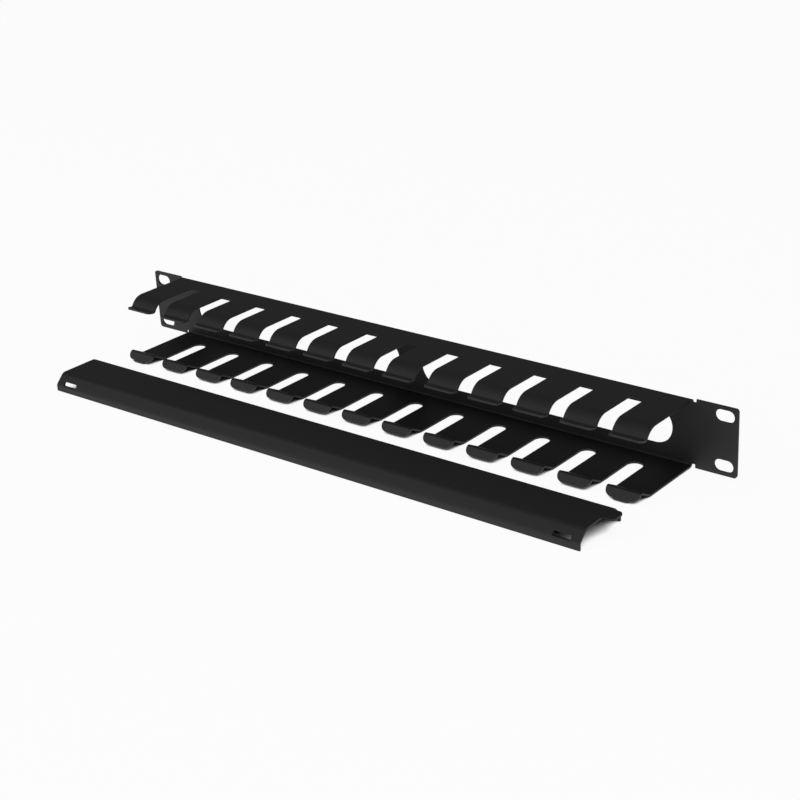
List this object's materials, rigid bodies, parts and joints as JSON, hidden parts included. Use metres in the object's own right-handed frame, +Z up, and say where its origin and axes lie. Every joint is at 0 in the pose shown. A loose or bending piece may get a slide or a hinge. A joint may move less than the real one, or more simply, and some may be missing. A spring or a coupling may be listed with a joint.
{
  "type": "horizontal cable manager",
  "caption": "rack cable manager: folded steel panel with slotted ears and windows, comb fingers above and below, and a clip-on cover lying in front",
  "frame": {"origin": "centre of the mounting plane, the back face of the ears between the four rack slots", "axes": "X along the rack's width, Y towards the rack's inside with the fingers on the -Y side, Z up"},
  "size_m": [0.4826, 0.1279, 0.044],
  "materials": {
    "black_powder_coat": "satin powder coat"
  },
  "bodies": {
    "root": {"comb_body": "black_powder_coat", "cover": "black_powder_coat"}
  },
  "joints": []
}
